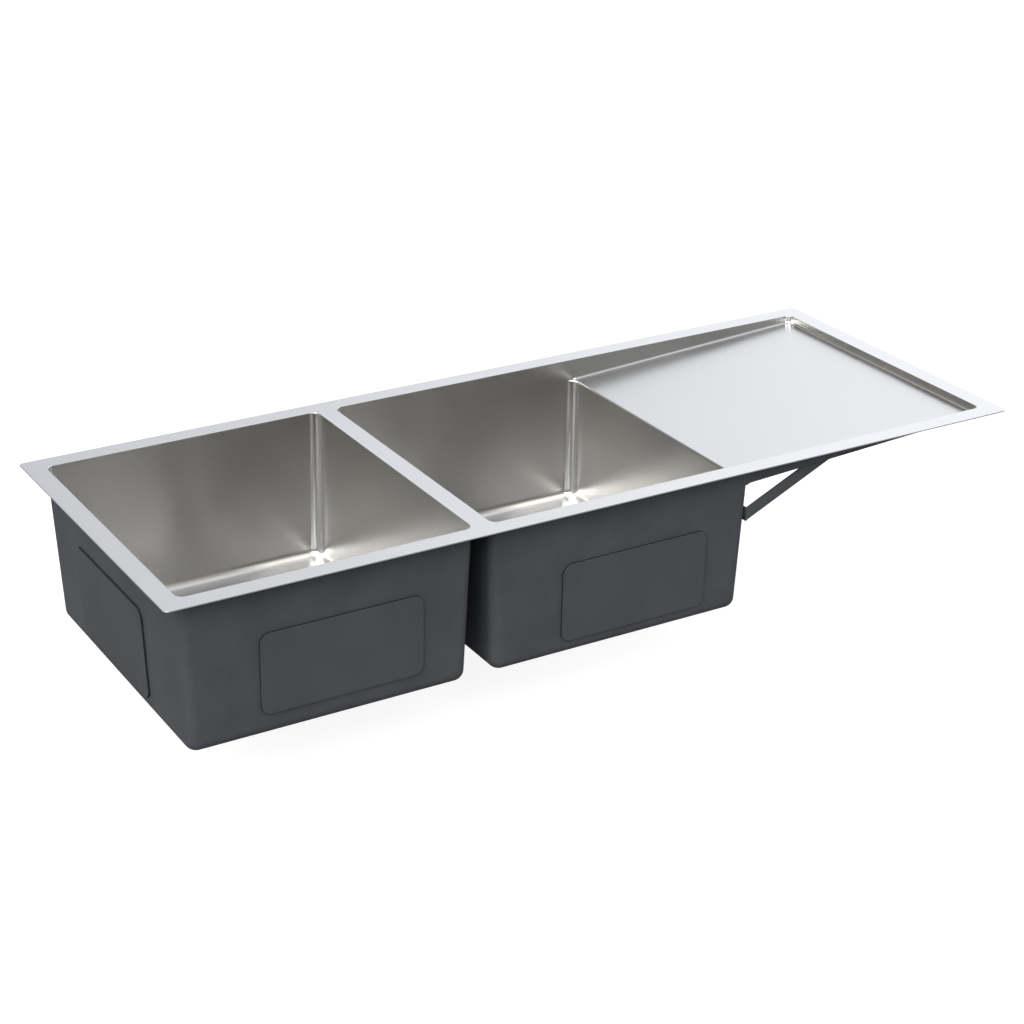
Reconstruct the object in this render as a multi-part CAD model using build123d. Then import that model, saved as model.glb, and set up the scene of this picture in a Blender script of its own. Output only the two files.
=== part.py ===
from build123d import *
import os
from math import atan, cos, degrees, pi, sin

# Inset sink with two bowls and a drainboard, in millimetres.
# +X runs towards the drainboard, +Y to the back and +Z up.
# The origin is the centre of the sink, in the plane of the worktop under the rim.

# --- driving dimensions -------------------------------------------------------------

LENGTH = 1140.0
DEPTH = 450.0
RIM = 25.0              # width of the rim all round, and of the strip between the bowls
RIM_THICK = 1.5
RIM_CORNER = 6.0
BAY = 355.0             # length of each of the three bays: two bowls and the drainboard
OPEN_HALF = DEPTH / 2 - RIM

SHEET = 1.2             # steel sheet of the bowls and the drainboard
COAT = 0.5              # sound-deadening coat sprayed on the outside
SKIN = SHEET + COAT
COAT_TOP = -3.0         # the coat stops short of the worktop plane

TOTAL_DROP = 196.0      # top of the rim to the coated underside of a bowl
WALL_LEAN = 0.034       # the walls lean in by this much for each millimetre of depth
CORNER_TOP = 10.0       # vertical corner radius inside a bowl, at the rim
CORNER_LOW = 13.0       # and at the floor
FLOOR_ROUND = 12.0      # radius between the walls and the floor, inside

PAN_DROP_LOW = 28.0     # rim top to the drainboard's surface, at the bowl
PAN_DROP_HIGH = 9.5     # and at the far end
PAN_CORNER = 8.0
PAN_ROUND = 6.0
PAN_LIP = 2.5           # radius where the drainboard turns down into the bowl
SEAM = 40.0             # the drainboard's sheet ends this far below the worktop plane
LIP_BACK = 14.0         # and this far back over the bowl

RECESS_R = 58.0         # pressed seat for the waste in a bowl's floor
RECESS_DROP = 4.0
RECESS_FLARE = 4.0
DRAIN_HOLE_R = 45.0
BARE_RING_R = 68.0      # no coat inside this circle round the waste

PAD_THICK = 3.0
PAD_CORNER = 13.0

BRACE_THICK = 3.0
BRACE_WIDE = 15.0
BRACE_RISE = 0.4535     # slope of the brace
BRACE_FOOT_LOW = -77.5  # lowest point of the brace, on the bowl's wall
BRACE_FACE = 197.5      # the brace's outer face, from the sink's middle plane
BRACE_TAB = 27.0        # length of the foot bent flat against the bowl's wall

# --- places that follow from them ---------------------------------------------------

TOP = RIM_THICK
FLOOR_IN = TOP - TOTAL_DROP + SKIN
X_LEFT = -LENGTH / 2 + RIM
BOWL_X = {"left": X_LEFT + BAY / 2, "right": X_LEFT + BAY + RIM + BAY / 2}
PAN_START = BOWL_X["right"] + BAY / 2
PAN_END = LENGTH / 2 - RIM
PAN_SLOPE = (PAN_DROP_LOW - PAN_DROP_HIGH) / (PAN_END - PAN_START)
RECESS_Z = FLOOR_IN - RECESS_DROP


def lean(z):
    """How far a wall has leant in at height z."""
    return WALL_LEAN * (TOP - z)


def pan_floor(x, grow=0.0):
    """Height of the drainboard's surface at x, or of its underside with grow as the thickness."""
    return TOP - PAN_DROP_LOW + PAN_SLOPE * (x - PAN_START) - grow


def block(x0, x1, y0, y1, z0, z1):
    return Pos((x0 + x1) / 2, (y0 + y1) / 2, (z0 + z1) / 2) * Box(x1 - x0, y1 - y0, z1 - z0)


def disc(radius, z0, z1, x=0.0, y=0.0):
    return Pos(x, y, (z0 + z1) / 2) * Cylinder(radius, z1 - z0)


def ring(r_in, r_out, z0, z1):
    return disc(r_out, z0, z1) - disc(r_in, z0 - 1, z1 + 1)


def turned(points):
    """Solid of revolution about Z from an outline of (radius, height) points."""
    outline = Polyline(*[(r, 0, z) for r, z in points], close=True)
    return revolve(make_face(outline), Axis.Z)


# --- hollow shapes of the bowls and the drainboard ----------------------------------

def bowl_block(x, grow):
    """The solid that fills a bowl, grown outwards by grow."""
    low = FLOOR_IN - grow
    sections = []
    for z, corner in ((TOP, CORNER_TOP), (low, CORNER_LOW)):
        wide = BAY + 2 * (grow - lean(z))
        deep = 2 * (OPEN_HALF + grow - lean(z))
        sections.append(Pos(x, 0, z) * RectangleRounded(wide, deep, corner + grow))
    body = loft(sections, ruled=True)
    floor_edges = body.faces().sort_by(Axis.Z)[0].edges()
    body = fillet(floor_edges, FLOOR_ROUND + grow)
    flare = Cone(RECESS_R + grow, RECESS_R + RECESS_FLARE + grow, RECESS_DROP)
    return body + Pos(x, 0, FLOOR_IN - grow - RECESS_DROP / 2) * flare


def pan_block(grow):
    """The solid that fills the drainboard, running on into the right bowl."""
    start = PAN_START - 20.0
    low = TOP - PAN_DROP_LOW - 12.0
    sections = []
    for z in (TOP, low):
        end = PAN_END + grow - lean(z)
        deep = 2 * (OPEN_HALF + grow - lean(z))
        sections.append(Pos((start + end) / 2, 0, z) * Rectangle(end - start, deep))
    body = loft(sections, ruled=True)
    beyond = PAN_END + 50.0
    under = Polyline(
        (start - 50, 0, pan_floor(start - 50, grow)),
        (beyond, 0, pan_floor(beyond, grow)),
        (beyond, 0, low - 50),
        (start - 50, 0, low - 50),
        close=True,
    )
    body -= extrude(make_face(under), 400, both=True)
    far_corners = body.edges().filter_by(lambda e: e.center().X > PAN_END - 5 and abs(e.center().Y) > 150)
    far_corners = far_corners.filter_by(lambda e: abs(e.tangent_at(0).Z) > 0.9)
    body = fillet(far_corners, PAN_CORNER + grow)
    floor = body.faces().sort_by(Axis.Z)[0]
    around = floor.edges().filter_by(lambda e: e.center().X > start + 1)
    return fillet(around, PAN_ROUND + grow)


def lip_spandrel():
    """What the drainboard's edge loses to its radius as it turns down into the bowl."""
    edge_x = PAN_START - lean(pan_floor(PAN_START))
    edge_z = pan_floor(edge_x)
    on_floor = (edge_x + PAN_LIP, 0, edge_z + PAN_SLOPE * PAN_LIP)
    on_wall = (edge_x - WALL_LEAN * PAN_LIP, 0, edge_z - PAN_LIP)
    arc = TangentArc(on_wall, on_floor, tangent=(WALL_LEAN, 0, 1))
    over = (edge_x - 2, 0, edge_z + 2)
    outline = arc + Polyline(on_floor, over, (edge_x - 2, 0, edge_z - PAN_LIP), on_wall)
    return extrude(make_face(outline), OPEN_HALF - FLOOR_ROUND - 1, both=True)


def right_block(grow):
    """Right bowl and drainboard as one hollow. Only the wet side of the lip has a radius."""
    body = bowl_block(BOWL_X["right"], grow) + pan_block(grow)
    return body + lip_spandrel() if grow == 0 else body


def drain_cut(x):
    return disc(DRAIN_HOLE_R, RECESS_Z - 20, FLOOR_IN + 5, x)


hollow = {"left": bowl_block(BOWL_X["left"], 0), "right": right_block(0)}
steel = {"left": bowl_block(BOWL_X["left"], SHEET), "right": right_block(SHEET)}
coated = {"left": bowl_block(BOWL_X["left"], SKIN), "right": right_block(SKIN)}

parts = {}

# --- steel ---------------------------------------------------------------------------

plate = extrude(RectangleRounded(LENGTH, DEPTH, RIM_CORNER), RIM_THICK)
parts["rim_frame"] = plate - steel["left"] - steel["right"]

lip_zone = block(PAN_START - LIP_BACK, 700, -300, 300, -SEAM, 10)
shell_right = steel["right"] - hollow["right"] - drain_cut(BOWL_X["right"])
parts["bowl_left"] = steel["left"] - hollow["left"] - drain_cut(BOWL_X["left"])
parts["bowl_right"] = shell_right - lip_zone
parts["drainboard"] = shell_right & lip_zone

# --- sound-deadening coat ------------------------------------------------------------

below_rim = block(-600, 600, -300, 300, -400, COAT_TOP)
coat_left = (coated["left"] - steel["left"]) & below_rim
coat_right = (coated["right"] - steel["right"]) & below_rim
bare = {side: disc(BARE_RING_R, -300, -150, BOWL_X[side]) for side in BOWL_X}
parts["coat_left"] = coat_left - bare["left"]
parts["coat_right"] = coat_right - bare["right"] - lip_zone
parts["coat_drainboard"] = coat_right & lip_zone

# --- rubber pads ---------------------------------------------------------------------

LEAN_ANGLE = degrees(atan(WALL_LEAN))


def pad_plate(wide, high):
    plate = extrude(RectangleRounded(wide, high, PAD_CORNER), PAD_THICK)
    face = plate.faces().sort_by(Axis.Z)[-1]
    return fillet(face.edges(), 1.0)


def wall_pad(side, facing, wide, high, along, z):
    """A pad stuck on one wall of a bowl. along is measured from the bowl's middle."""
    turn = {"front": 0.0, "end_right": 90.0, "back": 180.0, "end_left": -90.0}[facing]
    reach = (BAY / 2 if facing.startswith("end") else OPEN_HALF) + SKIN - lean(z)
    upright = Rot(90, 0, 0) * pad_plate(wide, high)
    tilted = Pos(along, -reach, z) * (Rot(LEAN_ANGLE, 0, 0) * upright)
    return Pos(BOWL_X[side], 0, 0) * (Rot(0, 0, turn) * tilted)


PADS = (
    # bowl, wall, width, height, offset along the wall, height of the middle
    ("left", "front", 201, 102, 13, -115.5),
    ("left", "end_left", 200, 114, -10, -118.5),
    ("left", "back", 201, 102, 0, -118.0),
    ("left", "end_right", 200, 114, 0, -118.0),
    ("right", "front", 201, 102, 17, -124.5),
    ("right", "end_left", 200, 114, 0, -118.0),
    ("right", "back", 201, 102, 0, -118.0),
    ("right", "end_right", 200, 102, 0, -128.0),
)
WALL_WORD = {
    "left": {"front": "front", "back": "back", "end_left": "outer", "end_right": "inner"},
    "right": {"front": "front", "back": "back", "end_left": "inner", "end_right": "outer"},
}
for side, facing, wide, high, along, z in PADS:
    name = f"pad_{side}_{WALL_WORD[side][facing]}"
    parts[name] = wall_pad(side, facing, wide, high, along, z)

BOTTOM_PAD = (70.0, 240.0)
for side, x in BOWL_X.items():
    plate = Rot(180, 0, 0) * pad_plate(*BOTTOM_PAD)
    under = FLOOR_IN - SKIN
    pair = [Pos(x + s * (BARE_RING_R + BOTTOM_PAD[0] / 2 + 8), 0, under) * plate for s in (-1, 1)]
    parts[f"pad_{side}_bottom"] = Compound(children=pair)

# --- braces under the drainboard -----------------------------------------------------


def bowl_wall_x(z):
    """Outer face of the right bowl's end wall, coat included."""
    return PAN_START + SKIN - lean(z)


def brace(hand):
    """Bar on edge from the bowl's wall up to the drainboard; hand is -1 in front, 1 behind."""
    upright = BRACE_WIDE / cos(atan(BRACE_RISE))
    foot_low = BRACE_FOOT_LOW
    foot_high = foot_low + upright
    foot_x = bowl_wall_x(foot_low)
    # heights of both edges meet the drainboard's underside, which rises by PAN_SLOPE
    gap_rate = BRACE_RISE - PAN_SLOPE
    reach_low = (pan_floor(foot_x, SKIN) - foot_low) / gap_rate
    reach_high = (pan_floor(foot_x, SKIN) - foot_high) / gap_rate
    corners = (
        (bowl_wall_x(foot_low), foot_low),
        (foot_x + reach_low, foot_low + BRACE_RISE * reach_low),
        (foot_x + reach_high, foot_high + BRACE_RISE * reach_high),
        (bowl_wall_x(foot_high), foot_high),
    )
    bar = extrude(make_face(Polyline(*[(x, 0, z) for x, z in corners], close=True)), BRACE_THICK)
    tab_points = (
        (bowl_wall_x(foot_low), foot_low),
        (bowl_wall_x(foot_low) + BRACE_THICK, foot_low),
        (bowl_wall_x(foot_high) + BRACE_THICK, foot_high),
        (bowl_wall_x(foot_high), foot_high),
    )
    tab = extrude(make_face(Polyline(*[(x, 0, z) for x, z in tab_points], close=True)), BRACE_TAB)
    bent = moved_to(bar, BRACE_FACE - BRACE_THICK) + moved_to(tab, BRACE_FACE - BRACE_TAB)
    return bent if hand > 0 else mirror(bent, Plane.XZ)


def moved_to(shape, y_low):
    """The shape moved along Y so that its lowest Y is y_low."""
    return Pos(0, y_low - shape.bounding_box().min.Y, 0) * shape


parts["brace_front"] = brace(-1)
parts["brace_back"] = brace(1)

# --- waste of one bowl, centred on the Z axis ----------------------------------------

GASKET = 1.0
FLANGE_R = 56.5
FLANGE_THICK = 1.2
CUP_IN_R = 40.8
CUP_DROP = 20.0
SCREW_R = 3.0
SEAT_GAP = 0.3          # the basket stays this far from what it sits in
LOWER_GASKET = 3.0
BODY_R = 58.0
BODY_WALL_IN = 44.0
BODY_WALL = 2.5
BODY_LIP = 4.0
BODY_DROP = 34.0
NECK_R = 23.9           # 1 1/2 inch outlet thread
NECK_BORE = 20.3
NECK_LONG = 18.0
BOSS_R = 8.0
INSERT_R = 4.0
PIPE_R = 20.0           # 40 mm waste pipe
PIPE_BORE = 18.0
PIPE_EXPOSED = 19.0

flange_low = RECESS_Z + GASKET
flange_top = flange_low + FLANGE_THICK
cup_floor = flange_top - CUP_DROP - FLANGE_THICK
steel_under = RECESS_Z - SHEET
body_top = steel_under - LOWER_GASKET
body_floor = body_top - BODY_DROP
neck_low = body_floor - NECK_LONG


def upper_gasket():
    return ring(DRAIN_HOLE_R + 1, FLANGE_R - 1.5, RECESS_Z, flange_low)


def waste_flange():
    wall = FLANGE_THICK
    cup = turned((
        (0, cup_floor - wall),
        (CUP_IN_R + wall, cup_floor - wall),
        (CUP_IN_R + wall, flange_low),
        (FLANGE_R, flange_low),
        (FLANGE_R - 0.6, flange_top),
        (CUP_IN_R + 1.5, flange_top),
        (CUP_IN_R, flange_top - 1.5),
        (CUP_IN_R, cup_floor),
        (0, cup_floor),
    ))
    cup -= disc(SCREW_R + 0.2, cup_floor - 5, cup_floor + 5)
    for i in range(8):
        a = 2 * pi * i / 8
        cup -= disc(3.5, cup_floor - 5, cup_floor + 5, 16 * cos(a), 16 * sin(a))
    return cup


def lower_gasket():
    return ring(DRAIN_HOLE_R + 1, BODY_R, body_top, steel_under)


def waste_body():
    shell = turned((
        (BODY_WALL_IN, body_top),
        (BODY_R, body_top),
        (BODY_R, body_top - BODY_LIP),
        (BODY_WALL_IN + BODY_WALL, body_top - BODY_LIP),
        (BODY_WALL_IN + BODY_WALL, body_floor + 6),
        (NECK_R + 5, body_floor - 3),
        (NECK_R, body_floor - 3),
        (NECK_R, neck_low),
        (NECK_BORE, neck_low),
        (NECK_BORE, body_floor),
        (BODY_WALL_IN - 6, body_floor + 3),
        (BODY_WALL_IN, body_floor + 9),
    ))
    bridge = block(-BODY_WALL_IN - 1, BODY_WALL_IN + 1, -3, 3, body_floor + 8, cup_floor - 4)
    boss = disc(BOSS_R, body_floor + 2, cup_floor - 3)
    return shell + bridge + boss - disc(INSERT_R, body_floor, cup_floor)


def insert_nut():
    return ring(SCREW_R + 0.05, INSERT_R, body_floor + 4, cup_floor - 3)


def clamp_screw():
    head_r = 5.5
    shank = disc(SCREW_R, body_floor + 3, cup_floor)
    head = fillet(disc(head_r, cup_floor, cup_floor + 2.8).edges().sort_by(Axis.Z)[-1], 1.2)
    slot = block(-head_r, head_r, -0.6, 0.6, cup_floor + 1.6, cup_floor + 4)
    return shank + head - slot


def outlet_washer():
    return turned((
        (PIPE_R + 0.1, neck_low - 4),
        (NECK_R - 0.2, neck_low - 4),
        (NECK_R - 0.2, neck_low),
        (PIPE_R + 0.1, neck_low),
    ))


def outlet_nut():
    low = neck_low - 7
    outer = 29.0
    nut = ring(NECK_R + 0.1, outer, neck_low - 4, neck_low + 12)
    nut += ring(PIPE_R + 0.4, outer, low, neck_low - 4)
    for i in range(12):
        a = 2 * pi * i / 12
        nut += disc(2.2, low + 1, neck_low + 11, outer * cos(a), outer * sin(a))
    return nut


def tail_pipe():
    plug_low = neck_low - 9
    end = plug_low - PIPE_EXPOSED
    return turned((
        (PIPE_BORE, end),
        (PIPE_R, end),
        (PIPE_R, plug_low),
        (PIPE_R - 0.3, plug_low),
        (PIPE_R - 0.3, neck_low + 6),
        (PIPE_BORE, neck_low + 6),
    ))


BASKET_R = CUP_IN_R - 0.4
BASKET_SHEET = 0.8
BASKET_DROP = 13.0
basket_top = flange_top - 3.5
basket_low = basket_top - BASKET_DROP


def basket():
    low_r = 30.0
    return turned((
        (0, basket_low),
        (low_r, basket_low),
        (BASKET_R - 2.5, basket_top - BASKET_SHEET),
        (BASKET_R, basket_top - BASKET_SHEET),
        (BASKET_R, basket_top),
        (BASKET_R - 3.2, basket_top),
        (low_r - 0.8, basket_low + BASKET_SHEET),
        (0, basket_low + BASKET_SHEET),
    )) - disc(2.5, basket_low - 5, basket_low + 5)


def basket_seal():
    return ring(9.0, 28.5, cup_floor + SEAT_GAP, basket_low)


def basket_knob():
    knob_top = FLOOR_IN + 3.0
    return turned((
        (0, basket_low),
        (2.5, basket_low),
        (2.5, basket_low + BASKET_SHEET),
        (4.0, basket_low + BASKET_SHEET),
        (3.2, knob_top - 7),
        (7.0, knob_top - 5),
        (8.5, knob_top - 2.5),
        (8.0, knob_top - 0.8),
        (6.0, knob_top),
        (0, knob_top),
    ))


WASTE = (
    upper_gasket, waste_flange, lower_gasket, waste_body, insert_nut, clamp_screw,
    outlet_washer, outlet_nut, tail_pipe, basket, basket_seal, basket_knob,
)
for make in WASTE:
    piece = make()
    for side, x in BOWL_X.items():
        parts[f"{make.__name__}_{side}"] = Pos(x, 0, 0) * piece

# --- files ---------------------------------------------------------------------------

os.makedirs("parts", exist_ok=True)
for name, shape in parts.items():
    export_step(shape, f"parts/{name}.step")
    print(f"{name}: {len(shape.solids())} solid(s), {shape.volume:.0f} mm3")
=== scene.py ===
from math import atan, atan2, cos, pi, sin, sqrt

import bmesh
import bpy
from mathutils import Matrix, Vector, noise


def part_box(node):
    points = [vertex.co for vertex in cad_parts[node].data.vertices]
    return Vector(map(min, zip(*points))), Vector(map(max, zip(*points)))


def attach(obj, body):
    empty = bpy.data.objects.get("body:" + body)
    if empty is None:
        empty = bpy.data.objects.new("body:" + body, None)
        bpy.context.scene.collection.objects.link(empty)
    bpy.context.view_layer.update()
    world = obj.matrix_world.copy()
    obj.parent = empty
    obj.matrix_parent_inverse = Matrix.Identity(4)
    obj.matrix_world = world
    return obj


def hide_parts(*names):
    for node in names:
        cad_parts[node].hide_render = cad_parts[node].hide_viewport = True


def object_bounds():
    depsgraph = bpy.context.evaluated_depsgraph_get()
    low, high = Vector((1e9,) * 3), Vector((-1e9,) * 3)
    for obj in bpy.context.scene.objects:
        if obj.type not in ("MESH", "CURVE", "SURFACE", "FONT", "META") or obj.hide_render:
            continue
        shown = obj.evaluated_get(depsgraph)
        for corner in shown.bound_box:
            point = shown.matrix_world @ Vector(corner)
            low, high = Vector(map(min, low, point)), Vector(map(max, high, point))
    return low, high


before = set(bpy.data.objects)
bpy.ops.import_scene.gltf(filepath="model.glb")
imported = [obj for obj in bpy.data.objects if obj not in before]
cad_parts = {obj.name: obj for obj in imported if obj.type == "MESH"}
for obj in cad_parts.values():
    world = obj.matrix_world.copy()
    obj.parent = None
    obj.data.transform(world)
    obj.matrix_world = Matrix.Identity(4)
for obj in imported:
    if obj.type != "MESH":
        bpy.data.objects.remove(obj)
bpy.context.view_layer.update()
scene = bpy.context.scene
scene.view_settings.view_transform = "Standard"

# --- sizes of the sink, in metres ---------------------------------------------------

MM = 0.001
rim_lo, rim_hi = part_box("rim_frame")
TOP = rim_hi.z                      # the rim's upper face
UNDER_RIM = rim_lo.z
RIM = 25 * MM
BAY = (rim_hi.x - rim_lo.x - 3 * RIM) / 3
OPEN_HALF = (rim_hi.y - rim_lo.y) / 2 - RIM
SHEET = 1.2 * MM
COAT = 0.5 * MM
SKIN = SHEET + COAT
COAT_TOP = -3 * MM
FLOOR_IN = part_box("coat_left")[0].z + SKIN
LEAN = 0.034
CORNER_TOP = 10 * MM
CORNER_LOW = 13 * MM
FLOOR_ROUND = 12 * MM
RIM_CORNER = 6 * MM
PAN_DROP_LOW = 28 * MM
PAN_DROP_HIGH = 9.5 * MM
PAN_CORNER = 8 * MM
PAN_ROUND = 3.5 * MM
PAN_LIP = 2.5 * MM
RECESS_R = 58 * MM
RECESS_DROP = 4 * MM
RECESS_FLARE = 4 * MM
DRAIN_HOLE_R = 45 * MM
BARE_RING_R = 68 * MM
FLOOR_FALL = 0.8 * MM               # the floor falls this much towards the waste
CREASE = 0.7 * MM                   # depth of the pressed creases from the corners
CREASE_WIDE = 5 * MM
BROW = 0.6 * MM                     # radius where a wall meets the rim
BROW_STEPS = 3

SIDES = ("left", "right")


def middle_x(node):
    lo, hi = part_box(node)
    return (lo.x + hi.x) / 2


BOWL_X = {side: middle_x("waste_body_" + side) for side in SIDES}
HALF_X = BAY / 2
PAN_START = BOWL_X["right"] + HALF_X
PAN_END = rim_hi.x - RIM
PAN_SLOPE = (PAN_DROP_LOW - PAN_DROP_HIGH) / (PAN_END - PAN_START)
RECESS_Z = FLOOR_IN - RECESS_DROP


def lean(z):
    return LEAN * (TOP - z)


def pan_floor(x):
    return TOP - PAN_DROP_LOW + PAN_SLOPE * (x - PAN_START)


# --- small helpers ------------------------------------------------------------------

def link(name, mesh):
    piece = bpy.data.objects.new(name, mesh)
    scene.collection.objects.link(piece)
    return piece


def finish_piece(piece, body, material, slot, nodes=(), angle=35):
    """Shades a piece, gives it its material and hangs it on its body."""
    piece.data.materials.clear()
    piece.data.materials.append(material)
    for face in piece.data.polygons:
        face.use_smooth = True
    piece.data.set_sharp_from_angle(angle=angle * pi / 180)
    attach(piece, body)
    if nodes:
        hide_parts(*nodes)
    return piece


def from_faces(name, verts, faces, weld=2e-6):
    mesh = bpy.data.meshes.new(name)
    mesh.from_pydata([tuple(v) for v in verts], [], faces)
    bm = bmesh.new()
    bm.from_mesh(mesh)
    bmesh.ops.remove_doubles(bm, verts=bm.verts, dist=weld)
    bmesh.ops.dissolve_degenerate(bm, dist=weld, edges=bm.edges)
    bmesh.ops.recalc_face_normals(bm, faces=bm.faces)
    bm.to_mesh(mesh)
    bm.free()
    return link(name, mesh)


def weighted(piece):
    mod = piece.modifiers.new("weighted", "WEIGHTED_NORMAL")
    mod.keep_sharp = True
    mod.weight = 80


class Sheet:
    """Collects grids of points into one closed sheet."""

    def __init__(self):
        self.verts = []
        self.faces = []

    def grid(self, rows, loop=False):
        """rows is a list of equally long lists of points."""
        base = len(self.verts)
        wide = len(rows[0])
        for row in rows:
            self.verts.extend(row)
        for j in range(len(rows) - 1):
            for i in range(wide if loop else wide - 1):
                k = (i + 1) % wide
                a, b = base + j * wide, base + (j + 1) * wide
                self.faces.append((a + i, a + k, b + k, b + i))


# --- bowls and drainboard -----------------------------------------------------------

SIDE_STEPS = 26
ARC_STEPS = 9
FILLET_STEPS = 8
FLOOR_STEPS = 14
WALL_STEPS = 12
LIP_STEPS = 5


def side_spread(steps):
    """Positions from -1 to 1, closer together near the ends."""
    return [-cos(pi * i / steps) for i in range(steps + 1)]


def ring_columns():
    """Columns round a bowl, anticlockwise from the front end of its +X wall.

    Each is (side or arc, quarter, place along the side or angle)."""
    columns = []
    for quarter in range(4):
        for s in side_spread(SIDE_STEPS)[1:-1]:
            columns.append(("side", quarter, s))
        for k in range(ARC_STEPS + 1):
            columns.append(("arc", quarter, (quarter + k / ARC_STEPS) * pi / 2))
    return columns


COLUMNS = ring_columns()


def outline_point(column, hx, hy, r):
    """Point of a rounded rectangle and its outward normal."""
    kind, quarter, value = column
    if kind == "arc":
        cx = (hx - r) * (1 if quarter in (0, 3) else -1)
        cy = (hy - r) * (1 if quarter in (0, 1) else -1)
        n = Vector((cos(value), sin(value), 0))
        return Vector((cx, cy, 0)) + r * n, n
    n = (Vector((1, 0, 0)), Vector((0, 1, 0)), Vector((-1, 0, 0)), Vector((0, -1, 0)))[quarter]
    along = Vector((-n.y, n.x, 0))
    reach = hx if quarter in (0, 2) else hy
    half = (hy if quarter in (0, 2) else hx) - r
    return n * reach + along * half * value, n


def wave(x, y, z, size=0.16, depth=0.12 * MM):
    """A slow unevenness of hand-finished sheet."""
    return depth * noise.noise(Vector((x, y, z)) / size)


def wall_ring_point(column, x0, z, g):
    part = (TOP - z) / (TOP - FLOOR_IN)
    r = CORNER_TOP + (CORNER_LOW - CORNER_TOP) * min(part, 1) + g
    p, n = outline_point(column, HALF_X + g - lean(z), OPEN_HALF + g - lean(z), r)
    edge = min(1.0, max(0.0, (TOP - z) / 0.02)) * min(1.0, max(0.0, (z - FLOOR_IN) / 0.03))
    flat = 1.0 - (column[2] ** 4 if column[0] == "side" else 1.0)
    push = wave(x0 + p.x, p.y, z) * edge * flat
    return Vector((x0, 0, z)) + p + n * push, n


def wall_heights(z_from, g):
    z_to = FLOOR_IN - g + FLOOR_ROUND + g
    return [z_from + (z_to - z_from) * i / WALL_STEPS for i in range(WALL_STEPS + 1)]


def brow(point, n, g, top):
    """Points that round a wall's top over on to the rim; point(z) is the wall, n points out of the bowl."""
    r = BROW if g == 0 and top == TOP else 0.0
    points = []
    for k in range(BROW_STEPS):
        phi = pi / 2 * k / BROW_STEPS
        z = top - (r if r else BROW) * (1 - cos(phi))
        points.append(point(z) + n * r * (1 - sin(phi)))
    return points


def floor_rows(x0, g, coat):
    """Rings from the foot of the walls, round the floor's radius and in to the drain hole."""
    f = FLOOR_ROUND + g
    z_foot = FLOOR_IN - g + f
    part = (TOP - z_foot) / (TOP - FLOOR_IN)
    r_foot = CORNER_TOP + (CORNER_LOW - CORNER_TOP) * part + g
    rows = []
    for k in range(1, FILLET_STEPS + 1):
        phi = pi / 2 * k / FILLET_STEPS
        inset = lean(z_foot) - g + f * (1 - cos(phi))
        z = z_foot - f * sin(phi)
        r = max(r_foot - f * (1 - cos(phi)), 0.6 * MM)
        rows.append([
            Vector((x0, 0, z)) + outline_point(c, HALF_X - inset, OPEN_HALF - inset, r)[0] for c in COLUMNS
        ])
    edge = rows[-1]
    rim_r = BARE_RING_R if coat else RECESS_R + RECESS_FLARE + g * 0.4
    diagonals = [Vector((sx * HALF_X, sy * OPEN_HALF, 0)).normalized() for sx in (1, -1) for sy in (1, -1)]
    for k in range(1, FLOOR_STEPS + 1):
        t = 1 - (1 - k / FLOOR_STEPS) ** 1.25
        row = []
        for start in edge:
            flat = Vector((start.x - x0, start.y, 0))
            end = flat.normalized() * rim_r
            p = flat.lerp(end, t)
            near = min(abs(p.x * d.y - p.y * d.x) if p.dot(d) > 0 else 1 for d in diagonals)
            fade = min(1.0, t * 6) * min(1.0, (1 - t) * 5)
            fall = FLOOR_FALL * t * t * (3 - 2 * t)
            drop = fall + CREASE * fade * 2.718 ** (-(near / CREASE_WIDE) ** 2)
            row.append(Vector((x0 + p.x, p.y, FLOOR_IN - g - drop)))
        rows.append(row)
    if coat:
        return rows
    top_z = FLOOR_IN - g - FLOOR_FALL
    low_z = RECESS_Z - g
    low_r = RECESS_R - 2 * MM
    for k in range(1, 9):
        t = k / 8
        ease = t * t * (3 - 2 * t)
        rows.append(circle_row(x0, rim_r + (low_r - rim_r) * t, top_z + (low_z - top_z) * ease))
    rows.append(circle_row(x0, (low_r + DRAIN_HOLE_R) / 2, low_z))
    rows.append(circle_row(x0, DRAIN_HOLE_R, low_z))
    return rows


def circle_row(x0, r, z):
    row = []
    for c in COLUMNS:
        p, _ = outline_point(c, HALF_X - 0.02, OPEN_HALF - 0.02, 1 * MM)
        a = atan2(p.y, p.x)
        row.append(Vector((x0 + r * cos(a), r * sin(a), z)))
    return row


def outline_normal(column):
    return outline_point(column, 1, 1, 0.1)[1]


def left_rows(g, top, coat):
    x0 = BOWL_X["left"]
    tops = [brow(lambda z: wall_ring_point(c, x0, z, g)[0], outline_normal(c), g, top) for c in COLUMNS]
    rows = [list(row) for row in zip(*tops)]
    rows += [[wall_ring_point(c, x0, z, g)[0] for c in COLUMNS] for z in wall_heights(top - BROW, g)]
    return rows + floor_rows(x0, g, coat)


def closed_shell(name, inner_sheet, outer_sheet, bridges):
    """One closed piece from an inner and an outer skin with the same layout."""
    both = Sheet()
    both.verts = inner_sheet.verts + outer_sheet.verts
    shift = len(inner_sheet.verts)
    both.faces = list(inner_sheet.faces)
    both.faces += [tuple(shift + i for i in reversed(f)) for f in outer_sheet.faces]
    for a, b in bridges:
        both.faces.append((a, b, shift + b, shift + a))
    return from_faces(name, both.verts, both.faces)


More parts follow.
